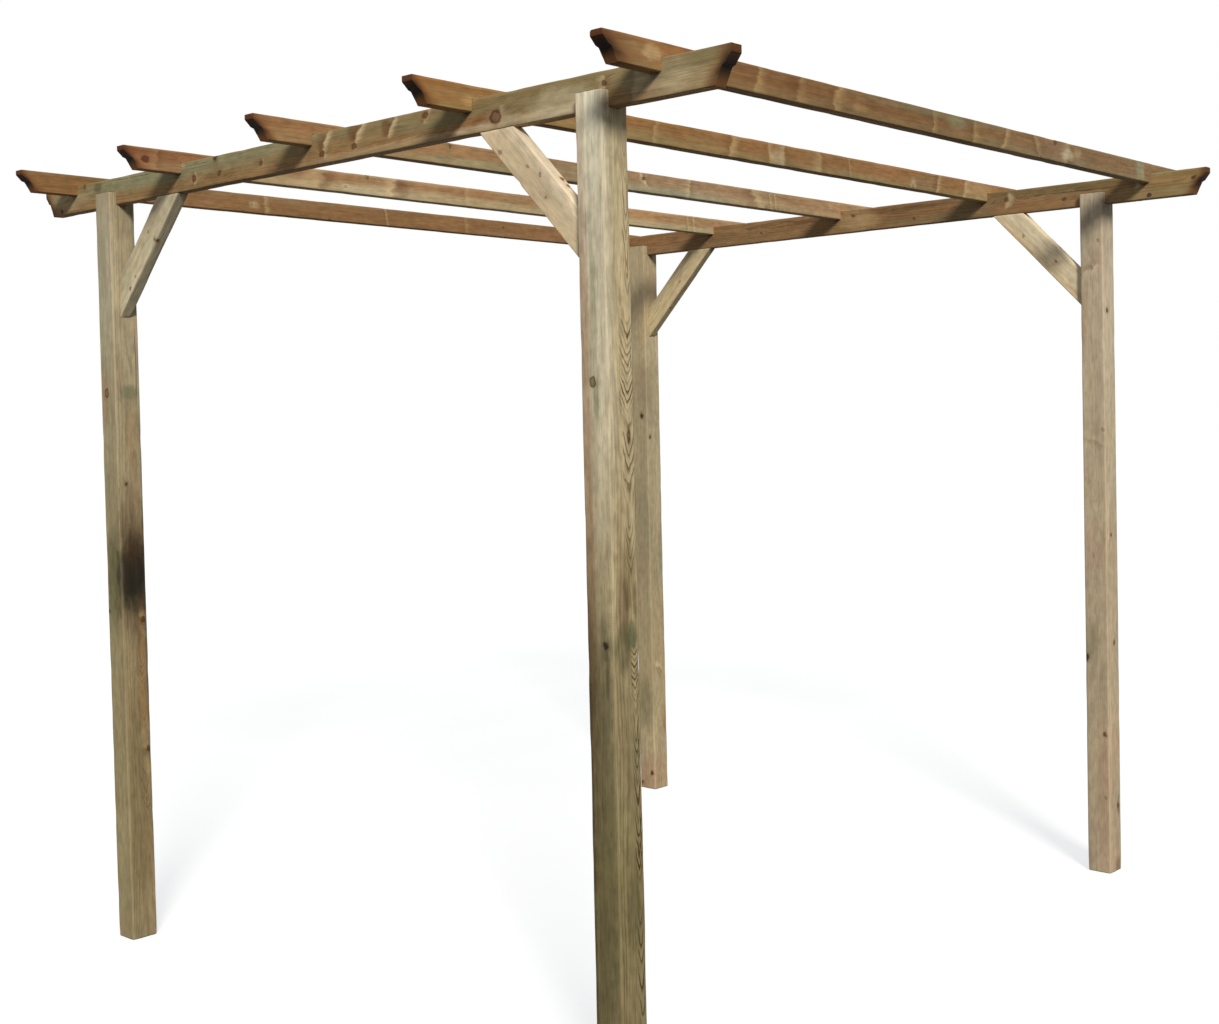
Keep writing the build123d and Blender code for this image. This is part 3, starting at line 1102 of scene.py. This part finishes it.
def draw_arches(g, timber, arch, late, point, along, wobble, seed):
    """Nested V's with their points down, where a face cuts the growth rings at a low angle."""
    width, start, end, spacing = (value * MM for value in arch[2:6])
    sway = g.math("SUBTRACT", g.noise(point, 4, 0, 2.0, seed * 2.3), 0.5)
    aside = g.vector("DOT_PRODUCT", point, tuple(timber.sideways(arch.side)))
    aside = g.math("SUBTRACT", aside, arch.across * MM)
    aside = g.add_scaled(sway, 0.8 * width, aside)
    rise = g.math("SQRT", g.add_scaled(aside, aside, (2.5 * MM) ** 2))
    place = g.add_scaled(rise, -arch.slope, along)
    place = g.add_scaled(wobble, 0.5 * spacing, place)
    swell = g.noise(point, 13, 26, 2.0, seed * 2.9)
    place = g.add_scaled(swell, 2.2 * spacing, place)
    arches = late_wood(g, g.math("DIVIDE", place, spacing), arch.strength)
    fringe = g.add_scaled(wobble, 0.5 * width, g.math("ABSOLUTE", aside))
    cover = g.fade(fringe, 0.8 * width, 1.3 * width)
    cover = g.times(cover, g.ease(along, start, start + ARCH_FADE))
    cover = g.times(cover, g.fade(along, end - ARCH_FADE, end))
    depth = g.vector("DOT_PRODUCT", point, tuple(timber.normal(arch.side)))
    half = timber.half_through(arch.side)
    cover = g.times(cover, g.ease(depth, half - 12 * MM, half - 2 * MM))
    return g.add_scaled(cover, g.math("SUBTRACT", arches, late), late)


def paint_marks(g, timber, look, knots, colour, bent, ragged):
    """The bands, stains, curls and knots, each over those before it."""
    for band in look["bands"]:
        heading = (1 / (band.width * MM), 0, band.slant / (abs(band.width) * MM))
        colour = g.group(grain_curl, colour, bent, (band.along * MM, 0, 0), heading, (0, 0, 0), ragged,
                         band.strength, BROWN, TAN)
    for stain in look["stains"]:
        scale = timber.scales(stain.side, stain.length / 2 * MM, stain.width / 2 * MM, STAIN_DEPTH)
        centre = timber.place(stain.side, stain.along * MM, stain.across * MM)
        colour = g.group(stain_paint, colour, bent, tuple(centre), scale, ragged,
                         stain.colour, stain.strength)
    for curl in look["curls"]:
        centre = timber.place(curl.side, curl.along * MM, curl.across * MM)
        lean = timber.sideways(curl.side) * (curl.slant / (abs(curl.width) * MM))
        heading = Vector((1 / (curl.width * MM), 0, 0)) + lean
        scale = timber.scales(curl.side, 1.6 * abs(curl.width) * MM, curl.reach * MM, CURL_DEPTH)
        colour = g.group(grain_curl, colour, bent, tuple(centre), tuple(heading), scale, ragged,
                         curl.strength, BROWN, CREAM)
    for knot in knots:
        scale = timber.scales(knot.side, 1.3 * knot.radius, knot.radius, 2.4 * knot.radius)
        centre = timber.place(knot.side, knot.along, knot.across)
        colour = g.group(knot_paint, colour, bent, tuple(centre), scale, *KNOT_COLOURS[knot.core])
    return colour


def fine_tone(g, streaks, cloud, point, seed):
    """How light each point is, from streaks, fibres and flecks along the grain."""
    streak = g.noise(point, 4.5, 85, 3.0, seed + 4.4)
    fibre = g.noise(point, 16, 520, 2.0, seed + 8.8)
    fleck = g.noise(point, 30, 260, 2.0, seed + 12.2)
    tone = g.ease(streak, 0.3, 0.7, 1 - 0.09 * streaks, 1 + 0.08 * streaks)
    tone = g.times(tone, g.ease(fibre, 0.3, 0.7, 0.93, 1.06))
    tone = g.times(tone, g.ease(fleck, 0.55, 0.75, 1.0, 0.86))
    line = g.noise(point, 9, 180, 2.0, seed + 14.9)
    tone = g.times(tone, g.ease(line, 0.54, 0.70, 1.0, 1 - 0.17 * streaks))
    mottle = g.noise(point, 26, 60, 4.0, seed + 17.3)
    mottled = max(1, streaks)
    tone = g.times(tone, g.ease(mottle, 0.3, 0.7, 1 - 0.11 * mottled, 1 + 0.10 * mottled))
    tone = g.times(tone, g.ease(cloud, 0.25, 0.75, 1.08, 0.92))
    return tone, fibre, fleck


def lit_and_worn_arrises(g, timber, sap, colour, edge, y, z):
    """Arrises are paler: partly rubbed wood, partly a painted highlight where the rounded edge catches the
    light.
    """
    gap = g.math("ADD", g.math("SUBTRACT", timber.half_y, g.math("ABSOLUTE", y)),
                 g.math("SUBTRACT", timber.half_z, g.math("ABSOLUTE", z)))
    edge_light = g.times(g.fade(gap, 3 * MM, 9 * MM), g.ease(edge, 0.35, 0.65, 0.05, 0.42))
    edge_light_colour = [1.08 * value for value in sap[:3]]
    return g.mix(edge_light, colour, (*edge_light_colour, 1.0))


def tone_along(g, timber, tint, colour, along):
    """The tone of the whole timber from end to end."""
    length = timber.end - timber.start
    ramp = g.node("ValToRGB", g.math("DIVIDE", g.math("SUBTRACT", along, timber.start), length))
    elements = ramp.color_ramp.elements
    while len(elements) < len(tint):
        elements.new(0.5)
    for element, (place, shade) in zip(elements, tint):
        element.position = min(1.0, max(0.0, (place - timber.start) / length))
        element.color = (*(value / 2 for value in shade), 1.0)
    return g.scaled(g.mix(1.0, colour, ramp.outputs[0], "MULTIPLY"), 2.0)


def soak_ends(g, timber, soak, colour, ragged, along, z):
    """Sawn ends drink the stain. Gives the sides' colour, and that of the end grain."""
    half = timber.half_z
    cut = g.times(g.ease(z, -half, half), -END_SETBACK)
    inward = g.math("SUBTRACT", timber.end - END_SETBACK, g.math("ADD", g.math("ABSOLUTE", along), cut))
    inward = g.add_scaled(ragged, SOAK_WANDER, inward)
    colour = g.mix(g.fade(inward, 0.3 * soak, 1.5 * soak, 0.65), colour, RUSSET)
    step = g.ease(g.math("ABSOLUTE", z), 0.12 * half, 0.9 * half)
    wet = g.times(g.fade(inward, -4 * MM, 0.8 * soak, 0.92), g.ease(step, 0.0, 1.0, 1.0, 0.5))
    colour = g.mix(wet, colour, SOAKED)
    outer = g.mix(g.ease(z, -0.4 * half, 0.4 * half), END_LOWER, END_UPPER)
    return colour, g.mix(g.times(step, 0.8), END_MIDDLE, outer)


def set_surface(g, shader, colour, late, cloud, fibre, fleck):
    """Matt wood, with late wood and fibres that stand out."""
    g.put(shader.inputs["Base Color"], colour)
    rough = g.ease(cloud, 0.3, 0.7, 0.70, 0.84)
    rough = g.add_scaled(fibre, 0.12, g.add_scaled(late, -0.10, rough))
    g.put(shader.inputs["Roughness"], rough)
    shader.inputs["Specular IOR Level"].default_value = 0.15
    relief = g.add_scaled(late, 0.7, g.add_scaled(fleck, 0.35, g.times(fibre, 0.8)))
    bump = g.node("Bump")
    bump.inputs["Strength"].default_value = 0.9
    bump.inputs["Distance"].default_value = 0.45 * MM
    g.put(bump.inputs["Height"], relief)
    g.put(shader.inputs["Normal"], bump.outputs["Normal"])


def wood_material(timber, look, knots, seed):
    """Weathered, treated softwood, solid all through the timber."""
    material = bpy.data.materials.new("wood_" + timber.name)
    material.use_nodes = True
    g = Graph(material.node_tree)
    point = g.node("TexCoord").outputs["Object"]
    bend = g.node("SeparateColor", g.noise(point, 60, 110, 2.0, seed + 6.5, "Color"))
    bend = g.vector("SUBTRACT", g.node("CombineXYZ", *bend.outputs).outputs[0], (0.5, 0.5, 0.5))
    bent = g.vector("ADD", point, g.vector("MULTIPLY", bend, (17 * MM, 11 * MM, 11 * MM)))
    ring, along, wobble = ring_field(g, timber, look, knots, point, bent, seed)

    late = late_wood(g, g.math("DIVIDE", ring, look["rings"] * MM), look["contrast"])
    for number, arch in enumerate(look["arches"]):
        late = draw_arches(g, timber, arch, late, point, along, wobble, seed + number)

    # Heartwood, and slow changes of colour along the grain
    edge = g.noise(point, 1.2, 20, 2.0, seed + 5.5)
    border = g.add_scaled(edge, 30 * MM, ring)
    heart = g.fade(border, look["heart"] * MM + 8 * MM, look["heart"] * MM + 24 * MM)
    colour = g.mix(g.times(heart, 0.85), look["sap"], look["heart_colour"])
    colour = g.mix(late, colour, look["late"])
    ragged = g.math("SUBTRACT", g.noise(point, 15, 45, 3.0, seed + 2.5), 0.5)
    cloud = g.noise(point, 2.0, 13, 3.0, seed + 9.1)
    patch = g.noise(point, 3.1, 10, 2.0, seed + 31.7)
    colour = g.mix(g.ease(cloud, 0.52, 0.75, 0.0, look["green"]), colour, GREEN)
    colour = g.mix(g.ease(patch, 0.50, 0.72, 0.0, look["pink"]), colour, PINK)

    colour = paint_marks(g, timber, look, knots, colour, bent, ragged)
    tone, fibre, fleck = fine_tone(g, look.get("streaks", 1.0), cloud, point, seed)
    colour = g.scaled(colour, tone)
    _, y, z = g.node("SeparateXYZ", point).outputs
    # Paler arrises: partly wear, partly painted highlight
    colour = lit_and_worn_arrises(g, timber, look["sap"], colour, edge, y, z)
    colour = tone_along(g, timber, look["tint"], colour, along)

    # Sawn ends are dark, and open cracks get painted shade
    end_colour = END_DRY
    soak = look.get("soak", 0) * MM
    if soak:
        colour, end_colour = soak_ends(g, timber, soak, colour, ragged, along, z)
    ends = g.node("Attribute", attribute_name="end_grain").outputs["Fac"]
    end_colour = g.mix(late, end_colour, END_LATE)
    colour = g.mix(g.times(ends, 0.93), colour, end_colour)
    # Painted shade in open cracks
    crack = g.node("Attribute", attribute_name="crack").outputs["Fac"]
    colour = g.mix(g.times(g.ease(crack, 0.05, 0.5), 0.9), colour, CRACK_SHADE)
    set_surface(g, material.node_tree.nodes["Principled BSDF"], colour, late, cloud, fibre, fleck)
    return material


# ------------------------------------------------------------------ the pergola

for seed, (name, look) in zip(itertools.count(FIRST_SEED, SEED_STEP), LOOKS.items()):
    timber = Timber(name)
    knots = all_knots(timber, look, seed)
    mesh = timber_mesh(timber, look)
    weather(mesh, timber, look, knots, seed)
    mesh.materials.append(wood_material(timber, look, knots, seed))
    piece = add_object(name + "_timber", mesh)
    piece.matrix_world = timber.matrix
    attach(piece, "root")
    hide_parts(name)


# ------------------------------------------------------------------ floor, light and camera

WHITE = (1, 1, 1, 1)
SKY = (0.90, 0.95, 1.0, 1)
SUNLIGHT = (1.0, 0.97, 0.92)
# The floor as it is seen, with its own glow, and as it lights the timbers
FLOOR_SHADE = (0.42, 0.42, 0.42, 1)
FLOOR_GLOW = 0.66
FLOOR_BOUNCE = (0.058, 0.053, 0.062, 1)
FLOOR_SIZE = 60.0  # from the middle to an edge


def seen(g):
    """1 for what the camera sees directly, in a reflection or through something clear."""
    rays = g.node("LightPath").outputs
    indirect = g.math("MAXIMUM", rays["Is Glossy Ray"], rays["Is Transmission Ray"])
    return g.math("MAXIMUM", rays["Is Camera Ray"], indirect)


def empty_graph(owner):
    owner.use_nodes = True
    owner.node_tree.nodes.clear()
    return Graph(owner.node_tree)


def make_floor():
    size = FLOOR_SIZE
    mesh = bpy.data.meshes.new("floor")
    corners = [(-size, -size, 0), (size, -size, 0), (size, size, 0), (-size, size, 0)]
    mesh.from_pydata(corners, [], [(0, 1, 2, 3)])
    material = bpy.data.materials.new("floor")
    g = empty_graph(material)
    shown = g.node("AddShader", g.node("BsdfDiffuse", FLOOR_SHADE).outputs[0],
                   g.node("Emission", WHITE, FLOOR_GLOW).outputs[0])
    bounced = g.node("BsdfDiffuse", FLOOR_BOUNCE)
    surface = g.node("MixShader", seen(g), bounced.outputs[0], shown.outputs[0])
    g.node("OutputMaterial", surface.outputs[0])
    mesh.materials.append(material)
    floor = add_object("floor", mesh)


def make_world(strength):
    world = bpy.data.worlds.new("studio")
    g = empty_graph(world)
    white = g.node("Background", WHITE, 1.0)
    fill = g.node("Background", SKY, strength)
    surface = g.node("MixShader", seen(g), fill.outputs[0], white.outputs[0])
    g.node("OutputWorld", surface.outputs[0])
    bpy.context.scene.world = world


def make_sun(heading, strength, softness):
    light = bpy.data.lights.new("key", "SUN")
    light.energy = strength
    light.angle = math.radians(softness)
    light.color = SUNLIGHT
    lamp = add_object("key", light)
    lamp.rotation_euler = Vector(heading).to_track_quat("-Z", "Y").to_euler()


def make_camera(place, yaw, pitch, roll, lens, shift):
    camera = bpy.data.cameras.new("camera")
    camera.sensor_fit = "HORIZONTAL"
    camera.sensor_width = 36.0
    camera.lens = lens
    camera.shift_x, camera.shift_y = shift
    camera.clip_end = 200.0
    forward = Vector((-math.sin(yaw) * math.cos(pitch), math.cos(yaw) * math.cos(pitch), math.sin(pitch)))
    level = Vector((math.cos(yaw), math.sin(yaw), 0))
    upward = level.cross(forward)
    right = level * math.cos(roll) + upward * math.sin(roll)
    up = upward * math.cos(roll) - level * math.sin(roll)
    view = add_object("camera", camera)
    view.matrix_world = Matrix.Translation(place) @ Matrix((right, up, -forward)).transposed().to_4x4()
    bpy.context.scene.camera = view


make_floor()
make_world(strength=0.48)
make_sun(heading=(-0.68, 0.55, -0.48), strength=3.0, softness=12.0)
make_camera(place=(3.7865, -4.1121, 1.7252), yaw=0.71203, pitch=-0.031196, roll=-0.021488,
            lens=46.61, shift=(-0.0619, -0.0381))
bpy.context.scene.view_settings.view_transform = "Standard"
